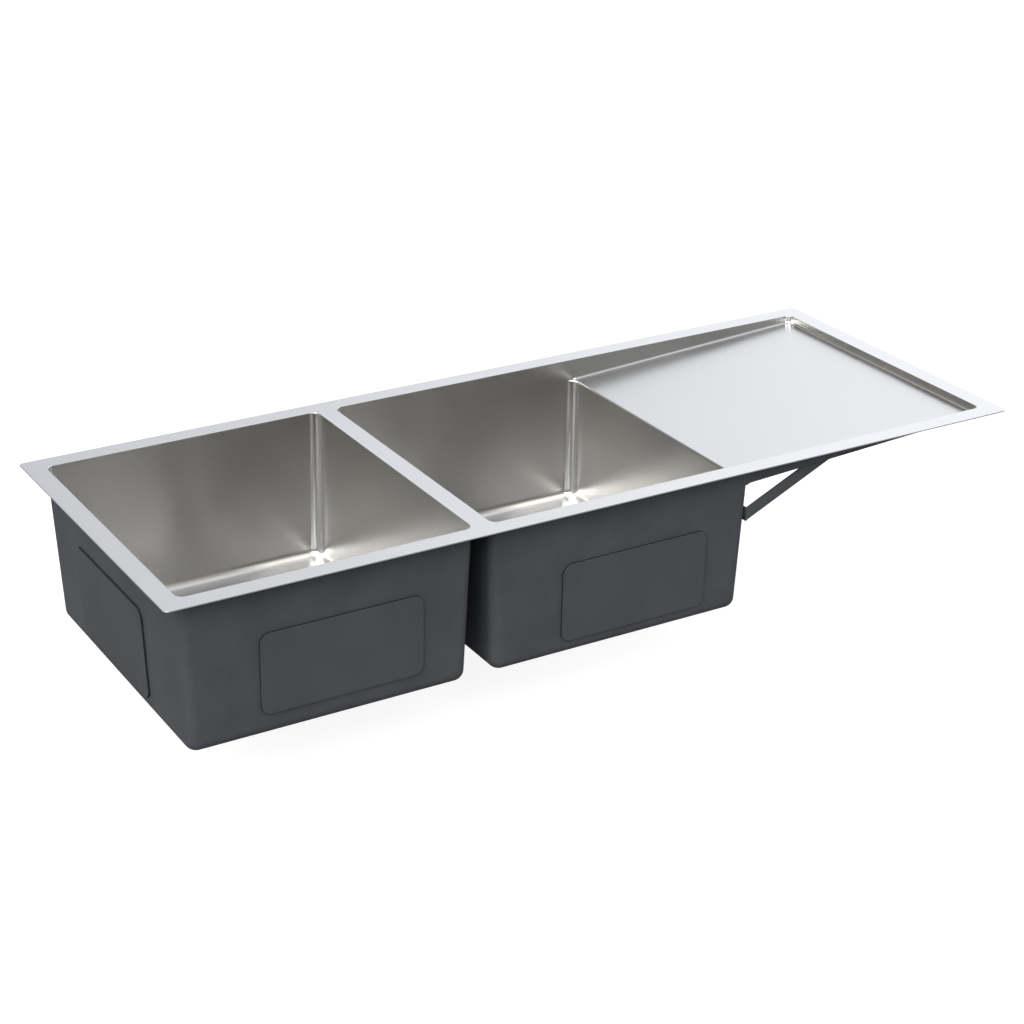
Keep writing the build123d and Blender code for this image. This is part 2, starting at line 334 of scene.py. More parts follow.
def open_edges(sheet):
    """The border edges of a skin, welded by position first."""
    place = {}
    first = []
    for v in sheet.verts:
        key = (round(v.x / 4e-6), round(v.y / 4e-6), round(v.z / 4e-6))
        first.append(place.setdefault(key, len(first)))
    uses = {}
    for face in sheet.faces:
        ids = [first[i] for i in face]
        for a, b in zip(ids, ids[1:] + ids[:1]):
            if a != b:
                uses.setdefault(frozenset((a, b)), []).append((a, b))
    return [ways[0] for ways in uses.values() if len(ways) == 1]


def shell_between(name, make_skin, g_in, g_out, top, coat=False):
    inner, outer = make_skin(g_in, top, coat), make_skin(g_out, top, coat)
    return closed_shell(name, inner, outer, open_edges(inner))


def left_skin(g, top, coat):
    skin = Sheet()
    skin.grid(left_rows(g, top, coat), loop=True)
    return skin


def right_skin(g, top, coat):
    """Right bowl and drainboard as one continuous surface."""
    x0 = BOWL_X["right"]
    lip = max(PAN_LIP - g, 0.4 * MM)
    lip_z = TOP - PAN_DROP_LOW - g - lip
    up_fillet = PAN_ROUND + g
    # columns on the bowl's +X wall turn out over the lip, the others go up to the top
    wall_y = OPEN_HALF + g
    corner_at = {}
    for i, c in enumerate(COLUMNS):
        corner_at[i] = c
    fractions = floor_fractions(g, lip_z, lip)
    upper = []
    for c in COLUMNS:
        upper.append(upper_path(c, x0, g, top, lip, lip_z, up_fillet, fractions, wall_y))
    lower = [[wall_ring_point(c, x0, z, g)[0] for c in COLUMNS] for z in wall_heights(lip_z, g)]
    lower += floor_rows(x0, g, coat)
    skin = Sheet()
    skin.grid(lower, loop=True)
    # the +X wall's own columns carry only the lip, whose outer edge the drainboard's floor meets
    wall_columns = [i for i, c in enumerate(COLUMNS) if c[0] == "side" and c[1] == 0]
    last_front = len(COLUMNS) - 1
    first_back = wall_columns[-1] + 1
    rest = list(range(first_back, last_front + 1))
    tall = [upper[i] for i in rest]
    skin.grid([[path[j] for path in tall] for j in range(len(tall[0]))])
    lip_columns = [last_front] + wall_columns + [first_back]
    lip_rows = []
    for k in range(LIP_STEPS + 1):
        lip_rows.append([lip_point(COLUMNS[i], x0, g, lip, lip_z, k) for i in lip_columns])
    skin.grid(lip_rows)
    pan_grid(skin, g, top, up_fillet, lip_rows[-1], wall_y)
    return skin


def lip_point(column, x0, g, lip, lip_z, k):
    """Point k round the lip, from the bowl's wall out on to the drainboard."""
    w, n = wall_ring_point(column, x0, lip_z, g)
    phi = pi / 2 * k / LIP_STEPS
    p = w + n * lip * (1 - cos(phi))
    p.z = lip_z + lip * sin(phi)
    return settle(p, k / LIP_STEPS, g)


def settle(p, share, g):
    """Blends a point's height on to the drainboard's sloping floor."""
    p.z += share * (pan_floor(p.x) - g - (TOP - PAN_DROP_LOW - g))
    return p


def floor_fractions(g, lip_z, lip):
    """Where, between lip and wall, the drainboard's floor has its rows: as shares of the gap."""
    start = COLUMNS.index(("arc", 0, 0.0))
    w = wall_ring_point(COLUMNS[start], BOWL_X["right"], lip_z, g)[0]
    foot = pan_floor(w.x + lip) - g + PAN_ROUND + g
    gap = OPEN_HALF + g - lean(foot) - w.y
    return (0.0, (gap - PAN_CORNER - g) / gap, (gap - PAN_ROUND - g) / gap)


def upper_path(column, x0, g, top, lip, lip_z, fillet, fractions, wall_y):
    """From the opening's edge down to the bowl's wall at the lip's height."""
    count = WALL_STEPS // 2
    in_corner = column[0] == "arc" and column[1] in (0, 3)
    path = []
    if not in_corner:
        total = count + 1 + FILLET_STEPS + len(fractions) + LIP_STEPS
        path += brow(lambda z: wall_ring_point(column, x0, z, g)[0], outline_normal(column), g, top)
        start = top - BROW
        for j in range(total):
            z = start + (lip_z - start) * j / (total - 1)
            path.append(wall_ring_point(column, x0, z, g)[0])
        return path
    sign = 1 if column[1] == 0 else -1
    w, n = wall_ring_point(column, x0, lip_z, g)
    start = COLUMNS.index(("arc", 0, 0.0)) if sign > 0 else len(COLUMNS) - 1
    w0, _ = wall_ring_point(COLUMNS[start], x0, lip_z, g)
    foot_wall = wall_y - lean(lip_z)
    gap0 = foot_wall - abs(w0.y)
    radius = lip * sqrt(max(0.0, (foot_wall - abs(w.y)) / gap0))
    over = w + n * radius
    share = max(0.0, foot_wall - abs(over.y)) / gap0
    f = fillet * share
    x = over.x
    floor_z = pan_floor(x) - g
    low_wall = wall_y - lean(floor_z + f)
    gap = max(0.0, low_wall - abs(over.y)) if share > 0 else 0.0
    path += brow(lambda z: Vector((x, sign * (wall_y - lean(z)), z)), Vector((0, sign, 0)), g, top)
    start_z = top - BROW
    for j in range(count + 1):
        z = start_z + (floor_z + f - start_z) * j / count
        path.append(Vector((x, sign * (wall_y - lean(z)), z)))
    for k in range(1, FILLET_STEPS + 1):
        phi = pi / 2 * k / FILLET_STEPS
        y = low_wall - f * (1 - cos(phi))
        path.append(Vector((x, sign * y, floor_z + f - f * sin(phi))))
    for share_at in reversed(fractions[:-1]):
        y = abs(over.y) + gap * share_at
        path.append(Vector((x, sign * y, floor_z)))
    for k in range(LIP_STEPS - 1, -1, -1):
        phi = pi / 2 * k / LIP_STEPS
        p = w + n * radius * (1 - cos(phi))
        p.z = lip_z + (floor_z - lip_z) * sin(phi)
        path.append(p)
    # same number of points as the plain columns
    path.append(path[-1].copy())
    return path


def pan_grid(skin, g, top, fillet, edge, wall_y):
    """The drainboard's floor, its walls and far corners, starting at the lip's outer edge."""
    x_start = edge[len(edge) // 2].x
    far = PAN_END + g
    corner = PAN_CORNER + g
    far_low = far - lean(pan_floor(PAN_END) - g + fillet)
    x_last = far_low - corner
    steps = 34
    xs = [x_start + (x_last - x_start) * (1 - cos(pi * i / steps)) / 2 for i in range(steps + 1)]

    def edge_y(x):
        return wall_y - lean(pan_floor(x) - g + fillet) - corner

    ys = [p.y for p in edge]
    floor = []
    for i, x in enumerate(xs):
        row = []
        y_edge = edge_y(x)
        for y in [-y_edge] + ys + [y_edge]:
            inside = min(1.0, (y_edge - abs(y)) / 0.05) * min(1.0, i / 6) * min(1.0, (steps - i) / 6)
            row.append(Vector((x, y, pan_floor(x) - g + wave(x, y, 0, 0.2, 0.2 * MM) * inside)))
        floor.append(row)
    y_edge = edge_y(x_last)
    skin.grid(floor)
    # the border runs from the back lip along the back, round the far end and back to the front lip
    border = []
    for x in xs:
        border.append((Vector((x, edge_y(x), 0)), Vector((0, 1, 0))))
    for k in range(1, ARC_STEPS + 1):
        a = pi / 2 * (1 - k / ARC_STEPS)
        border.append((Vector((x_last, y_edge, 0)), Vector((cos(a), sin(a), 0))))
    for y in reversed(ys):
        border.append((Vector((x_last, y, 0)), Vector((1, 0, 0))))
    for k in range(0, ARC_STEPS):
        a = -pi / 2 * k / ARC_STEPS
        border.append((Vector((x_last, -y_edge, 0)), Vector((cos(a), sin(a), 0))))
    for x in reversed(xs):
        border.append((Vector((x, -edge_y(x), 0)), Vector((0, -1, 0))))
    count = WALL_STEPS // 2
    columns = []
    for p, n in border:
        path = [p + Vector((0, 0, pan_floor(p.x) - g))]
        reach = corner - fillet
        for k in range(FILLET_STEPS + 1):
            phi = pi / 2 * (1 - k / FILLET_STEPS)
            q = p + n * (reach + fillet * cos(phi))
            q.z = pan_floor(q.x) - g + fillet * (1 - sin(phi))
            path.append(q)
        foot = path[-1].copy()

        def wall_at(z):
            return Vector((foot.x, foot.y, z)) + n * LEAN * (z - foot.z)

        crest = top - BROW
        path += [wall_at(foot.z + (crest - foot.z) * k / count) for k in range(1, count + 1)]
        path += reversed(brow(wall_at, n, g, top))
        columns.append(path)
    skin.grid([[c[j] for c in columns] for j in range(len(columns[0]))])


sheet_left = shell_between("bowl_left_sheet", left_skin, 0.0, SHEET, TOP)
sheet_right = shell_between("bowl_right_and_drainboard_sheet", right_skin, 0.0, SHEET, TOP)
coat_left = shell_between("coat_left_spray", left_skin, SHEET + 0.02 * MM, SKIN, COAT_TOP, True)
coat_right = shell_between("coat_right_spray", right_skin, SHEET + 0.02 * MM, SKIN, COAT_TOP, True)


# --- rim ----------------------------------------------------------------------------

def rounded_outline(x0, x1, y0, y1, radii, steps=12):
    """Anticlockwise outline with outward normals. radii: +X+Y, -X+Y, -X-Y, +X-Y corners."""
    corners = ((x1, y1, -1, -1), (x0, y1, 1, -1), (x0, y0, 1, 1), (x1, y0, -1, 1))
    line = []
    for quarter, ((x, y, sx, sy), r) in enumerate(zip(corners, radii)):
        for k in range(steps + 1):
            a = (quarter + k / steps) * pi / 2
            n = Vector((cos(a), sin(a), 0))
            line.append((Vector((x + sx * r, y + sy * r, 0)) + n * r, n))
    return line


def rim_plate():
    bm = bmesh.new()
    soft = 0.3 * MM
    profile = [(0.0, UNDER_RIM + 0.2 * MM), (0.0, TOP - soft)]
    profile += [(soft * (1 - cos(a)), TOP - soft + soft * sin(a)) for a in (pi / 6, pi / 3, pi / 2)]
    profile = [(0.2 * MM, UNDER_RIM)] + profile
    reach = OPEN_HALF + SHEET
    left = BOWL_X["left"], HALF_X + SHEET
    outer = rounded_outline(rim_lo.x, rim_hi.x, rim_lo.y, rim_hi.y, (RIM_CORNER,) * 4)
    bowl_r = CORNER_TOP + SHEET
    pan_r = PAN_CORNER + SHEET
    holes = (
        rounded_outline(left[0] - left[1], left[0] + left[1], -reach, reach, (bowl_r,) * 4),
        rounded_outline(PAN_START - BAY - SHEET, PAN_END + SHEET, -reach, reach,
                        (pan_r, bowl_r, bowl_r, pan_r)),
    )
    tops, unders = [], []

    def band(line, rows):
        rings = []
        for inset, z in rows:
            rings.append([bm.verts.new((p.x - n.x * inset, p.y - n.y * inset, z)) for p, n in line])
        for a, b in zip(rings, rings[1:]):
            for i in range(len(line)):
                k = (i + 1) % len(line)
                bm.faces.new((a[i], a[k], b[k], b[i]))
        unders.append(rings[0])
        tops.append(rings[-1])

    band(outer, profile)
    for line in holes:
        band(line, [(0.0, UNDER_RIM), (0.0, TOP)])
    for rings in (tops, unders):
        edges = [bm.edges.get((ring[i], ring[(i + 1) % len(ring)]))
                 for ring in rings for i in range(len(ring))]
        bmesh.ops.triangle_fill(bm, edges=edges, use_beauty=True)
    bmesh.ops.recalc_face_normals(bm, faces=bm.faces)
    mesh = bpy.data.meshes.new("rim_plate")
    bm.to_mesh(mesh)
    bm.free()
    return link("rim_plate", mesh)


# --- pads ---------------------------------------------------------------------------

PAD_CORNER = 13 * MM
PAD_THICK = 3 * MM


def slab(name, wide, high, place, thick=PAD_THICK, corner=PAD_CORNER):
    """Soft-edged plate. place(u, v, w) puts a point of the plate in the frame; w is outwards."""
    line = rounded_outline(-wide / 2, wide / 2, -high / 2, high / 2, (corner,) * 4)
    soft = 0.9 * MM
    rows = [(-0.55 * MM, -0.05 * MM), (-0.18 * MM, 0.14 * MM), (0.0, 0.6 * MM)]
    rows += [(soft * (1 - cos(a)), thick - soft + soft * sin(a))
             for a in (0, pi / 8, pi / 4, 3 * pi / 8, pi / 2)]
    rows += [(3 * MM, thick), (7 * MM, thick), (12 * MM, thick)]
    verts, faces = [], []
    for inset, w in rows:
        for p, n in line:
            q = p - n * inset
            sag = 0.12 * MM * noise.noise(Vector((q.x, q.y, wide)) / 0.03) if w > 2 * MM else 0
            verts.append(place(q.x, q.y, min(w + sag, thick)))
    count = len(line)
    for j in range(len(rows) - 1):
        for i in range(count):
            k = (i + 1) % count
            faces.append((j * count + i, j * count + k, (j + 1) * count + k, (j + 1) * count + i))
    faces.append(tuple(range((len(rows) - 1) * count, len(rows) * count)))
    faces.append(tuple(reversed(range(count))))
    piece = from_faces(name, verts, faces)
    outward = (place(0, 0, 1) - place(0, 0, 0)).normalized()
    # side faces: these later take the near-black edge material, painted shade along the pad edges
    piece["skirt"] = [f.index for f in piece.data.polygons if abs(f.normal.dot(outward)) < 0.8]
    return piece


def wall_pad(node, side, turn):
    """Pad on a wall; turn is the quarter turns from the front wall, anticlockwise seen from above."""
    lo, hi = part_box(node)
    mid = (lo + hi) / 2
    along_y = turn % 2 == 1
    wide = (hi.y - lo.y) if along_y else (hi.x - lo.x)
    tilt = atan(LEAN)
    high = (hi.z - lo.z - PAD_THICK * sin(tilt)) / cos(tilt)
    z = lo.z + PAD_THICK * sin(tilt) + high * cos(tilt) / 2
    reach = (HALF_X if along_y else OPEN_HALF) + SKIN - lean(z)
    out = (Vector((0, -1, 0)), Vector((1, 0, 0)), Vector((0, 1, 0)), Vector((-1, 0, 0)))[turn]
    along = Vector((-out.y, out.x, 0))
    base = Vector((BOWL_X[side], 0, z)) + out * reach
    shift = (mid - Vector((BOWL_X[side], 0, 0))).dot(along)
    v_axis = Vector((0, 0, cos(tilt))) + out * sin(tilt)
    w_axis = out * cos(tilt) - Vector((0, 0, sin(tilt)))

    def place(u, v, w):
        return base + along * (u + shift) + v_axis * v + w_axis * w

    return slab(node + "_plate", wide, high, place)


PAD_WALLS = {
    "left": {"front": 0, "inner": 1, "back": 2, "outer": 3},
    "right": {"front": 0, "outer": 1, "back": 2, "inner": 3},
}
pads = []
for side in SIDES:
    for word, turn in PAD_WALLS[side].items():
        node = f"pad_{side}_{word}"
        pads.append((wall_pad(node, side, turn), node))
    node = f"pad_{side}_bottom"
    lo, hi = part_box(node)
    wide = BOWL_X[side] - BARE_RING_R - 8 * MM - lo.x
    for hand, word in ((-1, "a"), (1, "b")):
        centre = Vector((BOWL_X[side] + hand * (BARE_RING_R + 8 * MM + wide / 2), 0, hi.z))

        def place(u, v, w, centre=centre):
            return centre + Vector((u, v, -w))

        pads.append((slab(f"{node}_plate_{word}", wide, hi.y - lo.y, place), node))

# --- braces -------------------------------------------------------------------------

BRACE_THICK = 3 * MM
BRACE_RISE = 0.4535


def soft_prism(name, outline, axis_lo, axis_hi, soft=0.5 * MM):
    """Prism along Y from an (x, z) outline, with softened edges."""
    bm = bmesh.new()
    rings = [[bm.verts.new((x, y, z)) for x, z in outline] for y in (axis_lo, axis_hi)]
    count = len(outline)
    for i in range(count):
        k = (i + 1) % count
        bm.faces.new((rings[0][i], rings[0][k], rings[1][k], rings[1][i]))
    bm.faces.new(rings[0])
    bm.faces.new(rings[1])
    bmesh.ops.recalc_face_normals(bm, faces=bm.faces)
    bmesh.ops.bevel(bm, geom=list(bm.edges), offset=soft, segments=2, affect="EDGES", profile=0.5)
    mesh = bpy.data.meshes.new(name)
    bm.to_mesh(mesh)
    bm.free()
    return link(name, mesh)


def bead(name, a, b, radius, body_steps=26):
    """A weld bead from a to b: a lumpy, tapering run."""
    along = (b - a)
    across = along.orthogonal().normalized()
    other = along.normalized().cross(across)
    verts, faces = [], []
    sides = 10
    for j in range(body_steps + 1):
        t = j / body_steps
        ends = sqrt(max(0.02, 1 - (2 * t - 1) ** 6))
        lumps = 0.86 + 0.14 * cos(t * body_steps * 1.7)
        r = radius * ends * lumps * (1 + 0.15 * noise.noise(a * 90 + along * t * 300))
        c = a + along * t
        for i in range(sides):
            q = 2 * pi * i / sides
            verts.append(c + (across * cos(q) + other * sin(q)) * r)
    for j in range(body_steps):
        for i in range(sides):
            k = (i + 1) % sides
            faces.append((j * sides + i, j * sides + k, (j + 1) * sides + k, (j + 1) * sides + i))
    faces.append(tuple(range(sides)))
    faces.append(tuple(body_steps * sides + i for i in reversed(range(sides))))
    return from_faces(name, verts, faces)


braces = []
for node, hand in (("brace_front", -1), ("brace_back", 1)):
    lo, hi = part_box(node)
    face_y = max(abs(lo.y), abs(hi.y)) * hand
    tab_y = min(abs(lo.y), abs(hi.y)) * hand
    foot = lo.z

    def wall_x(z):
        return PAN_START + SKIN - lean(z)

    upright = 15 * MM / cos(atan(BRACE_RISE))
    top_foot = foot + upright
    rate = BRACE_RISE - PAN_SLOPE
    reach_low = (pan_floor(wall_x(foot)) - SKIN - foot) / rate
    reach_high = (pan_floor(wall_x(foot)) - SKIN - top_foot) / rate
    bar = [
        (wall_x(foot), foot),
        (wall_x(foot) + reach_low, foot + BRACE_RISE * reach_low),
        (wall_x(foot) + reach_high, top_foot + BRACE_RISE * reach_high),
        (wall_x(top_foot), top_foot),
    ]
    tab = [
        (wall_x(foot), foot), (wall_x(foot) + BRACE_THICK, foot),
        (wall_x(top_foot) + BRACE_THICK, top_foot), (wall_x(top_foot), top_foot),
    ]
    inner_y = face_y - hand * BRACE_THICK
    braces.append((soft_prism(node + "_bar", bar, min(face_y, inner_y), max(face_y, inner_y)), node))
    near_y = face_y - hand * 0.4 * MM
    braces.append((soft_prism(node + "_tab", tab, min(tab_y, near_y), max(tab_y, near_y), 0.4 * MM), node))
    back_y = face_y - hand * (BRACE_THICK + 0.2 * MM)
    a = Vector((bar[1][0] - 1 * MM, back_y, bar[1][1] + 0.2 * MM))
    b = Vector((bar[2][0] + 1 * MM, back_y, bar[2][1] + 0.0 * MM))
    braces.append((bead(node + "_top_weld", a, b, 1.5 * MM), node))
    a = Vector((wall_x(top_foot) + 0.6 * MM, tab_y + hand * 1 * MM, top_foot))
    b = Vector((wall_x(top_foot) + 0.6 * MM, face_y - hand * 4 * MM, top_foot))
    braces.append((bead(node + "_foot_weld", a, b, 1.1 * MM), node))

# --- wastes and baskets -------------------------------------------------------------

ROUND = 96


def softened(points, radius, steps=3):
    """Rounds the corners of a closed (r, z) outline; corners on the axis stay sharp."""
    out = []
    count = len(points)
    for i, p in enumerate(points):
        a, b = Vector(points[i - 1]), Vector(points[(i + 1) % count])
        p = Vector(p)
        to_a, to_b = a - p, b - p
        r = min(radius, to_a.length * 0.45, to_b.length * 0.45)
        if p.x < 1e-6 or to_a.angle(to_b) > 3.0 or r < 1e-6:
            out.append(p)
            continue
        start, end = p + to_a.normalized() * r, p + to_b.normalized() * r
        for k in range(steps + 1):
            t = k / steps
            out.append(start * (1 - t) ** 2 + p * 2 * t * (1 - t) + end * t * t)
    return out


def lathe_faces(points, x0, closed=True, ribs=None, around=ROUND):
    verts, faces = [], []
    for p in points:
        for i in range(around):
            a = 2 * pi * i / around
            r = p.x + (ribs(a, p) if ribs else 0)
            verts.append(Vector((x0 + r * cos(a), r * sin(a), p.y)))
    count = len(points)
    for j in range(count if closed else count - 1):
        n = (j + 1) % count
        for i in range(around):
            k = (i + 1) % around
            faces.append((j * around + i, j * around + k, n * around + k, n * around + i))
    return verts, faces


def lathe(name, outline, x0, radius=0.4 * MM, ribs=None, around=ROUND, steps=3):
    points = softened([(r * MM if r > 0 else 0, z) for r, z in outline], radius, steps)
    verts, faces = lathe_faces(points, x0, True, ribs, around)
    return from_faces(name, verts, faces)


def holed_cells(place, across, up, per, radius_u, radius_v):
    """Cells with a round hole each, on two skins. place(u, v, skin), u and v counted in cells."""
    verts, faces = [], []
    ring = []
    per_u, per_v = per
    for k in range(per_u):
        ring.append((k / per_u, 0.0))
    for k in range(per_v):
        ring.append((1.0, k / per_v))
    for k in range(per_u):
        ring.append((1 - k / per_u, 1.0))
    for k in range(per_v):
        ring.append((0.0, 1 - k / per_v))
    count = len(ring)
    for i in range(across):
        for j in range(up):
            base = len(verts)
            for skin in (0, 1):
                for a, b in ring:
                    verts.append(place(i + a, j + b, skin))
                for a, b in ring:
                    q = atan2(b - 0.5, a - 0.5)
                    verts.append(place(i + 0.5 + radius_u * cos(q), j + 0.5 + radius_v * sin(q), skin))
            for k in range(count):
                n = (k + 1) % count
                o, h, o2, h2 = base, base + count, base + 2 * count, base + 3 * count
                faces.append((o + k, o + n, h + n, h + k))
                faces.append((o2 + n, o2 + k, h2 + k, h2 + n))
                faces.append((h + k, h + n, h2 + n, h2 + k))
    return verts, faces


def joined(name, *parts):
    verts, faces = [], []
    for v, f in parts:
        base = len(verts)
        verts += v
        faces += [tuple(base + i for i in face) for face in f]
    return from_faces(name, verts, faces, weld=8e-6)


def waste(side):
    x0 = BOWL_X[side]
    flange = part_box("waste_flange_" + side)
    body_lo, body_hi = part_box("waste_body_" + side)
    top = flange[1].z
    low = flange[0].z
    cup = low + 1.2 * MM
    seat = top - 1.2 * MM
    made = {}
    # flange and cup: the wall is turned, the cup's floor is eight holed cells
    outline = [(40.8, cup), (40.8, top - 1.5 * MM), (42.0, top), (55.0, top), (56.5, seat),
               (42.0, seat), (42.0, low)]
    points = softened([(r * MM, z) for r, z in outline], 1.0 * MM, 4)
    first = [p for p in points]
    inner, outer = 10.0 * MM, 22.0 * MM
    closing = [Vector((outer, cup))] + [Vector((38.0 * MM, cup))] + first[1:]
    closing += [Vector((outer, low))]
    parts = [lathe_faces(closing, x0, False)]
    parts.append(lathe_faces([Vector((3.2 * MM, low)), Vector((3.2 * MM, cup - 0.3 * MM)),
                              Vector((3.5 * MM, cup)),
                              Vector((inner, cup))], x0, False))
    parts.append(lathe_faces([Vector((inner, low)), Vector((3.2 * MM, low))], x0, False))

    def cup_place(u, v, skin):
        a = 2 * pi * u / 8
        r = inner + (outer - inner) * v
        return Vector((x0 + r * cos(a), r * sin(a), low if skin else cup))

    parts.append(holed_cells(cup_place, 8, 1, (12, 4), 3.5 * MM / (2 * pi * 16 * MM / 8), 3.5 / 12))
    made["waste_flange"] = joined(f"waste_flange_{side}_pressing", *parts)
    # moulded body with ribs under its collar
    wall = 46.5
    floor = body_lo.z + 18 * MM
    top_b = body_hi.z
    outline = [
        (44, top_b), (58, top_b), (58, top_b - 4 * MM), (wall, top_b - 4 * MM), (wall, floor + 6 * MM),
        (29, floor - 3 * MM), (23.9, floor - 3 * MM), (23.9, body_lo.z), (20.3, body_lo.z), (20.3, floor),
        (38, floor + 3 * MM), (44, floor + 9 * MM),
    ]
    shell = lathe_faces(softened([(r * MM, z) for r, z in outline], 1.2 * MM, 3), x0)
    made["waste_body"] = joined(f"waste_body_{side}_moulding", shell)
    extra = []
    for i in range(12):
        a = 2 * pi * (i + 0.5) / 12
        out = Vector((cos(a), sin(a), 0))
        flat = Vector((-sin(a), cos(a), 0)) * 0.9 * MM
        mid = Vector((x0, 0, 0))
        rib = [(45.5, top_b - 3.5 * MM), (57, top_b - 3.5 * MM), (56.5, top_b - 5 * MM),
               (47.4, top_b - 16 * MM), (45.5, top_b - 16.5 * MM)]
        ring = [mid + out * r * MM + Vector((0, 0, z)) for r, z in rib]
        verts = [p + flat for p in ring] + [p - flat for p in ring]
        n = len(ring)
        faces = [tuple(range(n)), tuple(reversed(range(n, 2 * n)))]
        faces += [(k, (k + 1) % n, n + (k + 1) % n, n + k) for k in range(n)]
        extra.append((verts, faces))
    made["waste_ribs"] = joined(f"waste_body_{side}_ribs", *extra)
    # bridge and boss inside the body
    bridge_lo, bridge_hi = floor + 8 * MM, cup - 5.2 * MM
    west, east = x0 - 45 * MM, x0 + 45 * MM
    flat = [(west, bridge_lo), (east, bridge_lo), (east, bridge_hi), (west, bridge_hi)]
    made["waste_bridge"] = soft_prism(f"waste_body_{side}_bridge", flat, -3 * MM, 3 * MM, 0.6 * MM)
    made["waste_boss"] = lathe(f"waste_body_{side}_boss", [
        (4.0, floor + 2 * MM), (8, floor + 2 * MM),
        (8, cup - 4.2 * MM), (4.0, cup - 4.2 * MM)], x0, 0.6 * MM, around=48)
    # nut
    nut_lo, nut_hi = (v.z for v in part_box("outlet_nut_" + side))
    nut_r = 29.0

    def grip(a, p):
        if p.x < 27.5 * MM or not nut_lo + 0.8 * MM < p.y < nut_hi - 0.8 * MM:
            return 0
        wave_at = abs((a * 12 / (2 * pi) + 0.5) % 1 - 0.5) * 2 * pi / 12 * nut_r
        return 2.1 * MM * sqrt(max(0.0, 1 - (wave_at / 2.4) ** 2))

    made["outlet_nut"] = lathe(f"outlet_nut_{side}_ribbed", [
        (20.4, nut_lo), (27.8, nut_lo), (nut_r, nut_lo + 1.2 * MM), (nut_r, nut_lo + 2.2 * MM),
        (nut_r, nut_hi - 2.2 * MM), (nut_r, nut_hi - 1.2 * MM), (27.8, nut_hi), (24.0, nut_hi),
        (24.0, nut_lo + 3 * MM), (20.4, nut_lo + 3 * MM)],
        x0, 0.5 * MM, grip, 192)
    pipe_lo, pipe_hi = (v.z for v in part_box("tail_pipe_" + side))
    made["tail_pipe"] = lathe(f"tail_pipe_{side}_tube", [
        (18, pipe_lo), (20, pipe_lo), (20, pipe_hi - 15 * MM),
        (19.7, pipe_hi - 15 * MM), (19.7, pipe_hi), (18, pipe_hi)], x0, 0.5 * MM)
    for word, inside, outside in (("upper_gasket", 46, 55), ("lower_gasket", 46, 58),
                                  ("outlet_washer", 20.1, 23.7)):
        lo, hi = (v.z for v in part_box(f"{word}_{side}"))
        ring = [(inside, lo), (outside, lo), (outside, hi), (inside, hi)]
        made[word] = lathe(f"{word}_{side}_ring", ring, x0, 0.4 * MM)
    return made


def basket(side):
    x0 = BOWL_X[side]
    lo, hi = (v.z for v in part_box("basket_" + side))
    thick = 0.8 * MM
    low_r = 30 * MM
    out_r = 37.9 * MM
    made = {}
    z_a, z_b = lo + 2.2 * MM, hi - 2.2 * MM

    def wall_r(z):
        return low_r + (out_r - low_r) * (z - lo) / (hi - thick - lo)

    def wall_place(u, v, skin):
        a = 2 * pi * u / 36
        z = z_a + (z_b - z_a) * v / 2
        r = wall_r(z) - (thick * 1.1 if skin else 0)
        return Vector((x0 + r * cos(a), r * sin(a), z))

    cell = (z_b - z_a) / 2
    parts = [holed_cells(wall_place, 36, 2, (4, 4), 1.5 * MM / (2 * pi * 34 * MM / 36), 1.5 * MM / cell)]
    top = softened([
        (wall_r(z_b), z_b), (out_r, hi - thick), (40.4 * MM, hi - thick), (40.4 * MM, hi),
        (37.2 * MM, hi), (wall_r(z_b) - thick * 1.1, z_b)], 0.35 * MM, 3)
    top = [Vector((wall_r(z_b), z_b))] + [p for p in top if p.y > z_b + 0.1 * MM]
    top += [Vector((wall_r(z_b) - thick * 1.1, z_b))]
    parts.append(lathe_faces(top, x0, False, around=144))
    under = [Vector((2.5 * MM, lo)), Vector((low_r - 1.5 * MM, lo)),
             Vector((low_r - 0.5 * MM, lo + 0.3 * MM)),
             Vector((wall_r(lo + 1.2 * MM), lo + 1.2 * MM)), Vector((wall_r(z_a), z_a))]
    over = [Vector((wall_r(z_a) - thick * 1.1, z_a)), Vector((low_r - 1.6 * MM, lo + 1.3 * MM)),
            Vector((low_r - 3.0 * MM, lo + thick)), Vector((2.5 * MM, lo + thick))]
    parts.append(lathe_faces(under, x0, False, around=144))
    parts.append(lathe_faces(over + [under[0]], x0, False, around=144))
    made["basket"] = joined(f"basket_{side}_strainer", *parts)
    seal_lo, seal_hi = (v.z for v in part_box("basket_seal_" + side))
    made["basket_seal"] = lathe(f"basket_seal_{side}_washer", [
        (9, seal_lo + 1 * MM), (24, seal_lo + 1 * MM), (27.4, seal_lo), (28.5, seal_lo),
        (28.5, seal_lo + 1.2 * MM),
        (26, seal_hi), (9, seal_hi)], x0, 0.5 * MM)
    knob_lo, knob_hi = (v.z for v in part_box("basket_knob_" + side))
    made["basket_knob"] = lathe(f"basket_knob_{side}_pull", [
        (0, knob_lo), (2.5, knob_lo), (2.5, knob_lo + 0.8 * MM), (4.0, knob_lo + 0.8 * MM),
        (3.2, knob_hi - 7 * MM),
        (7.0, knob_hi - 5 * MM), (8.5, knob_hi - 2.5 * MM), (8.0, knob_hi - 0.8 * MM),
        (6.0, knob_hi), (0, knob_hi - 0.2 * MM)],
        x0, 0.7 * MM, around=64)
    return made


# --- materials ----------------------------------------------------------------------

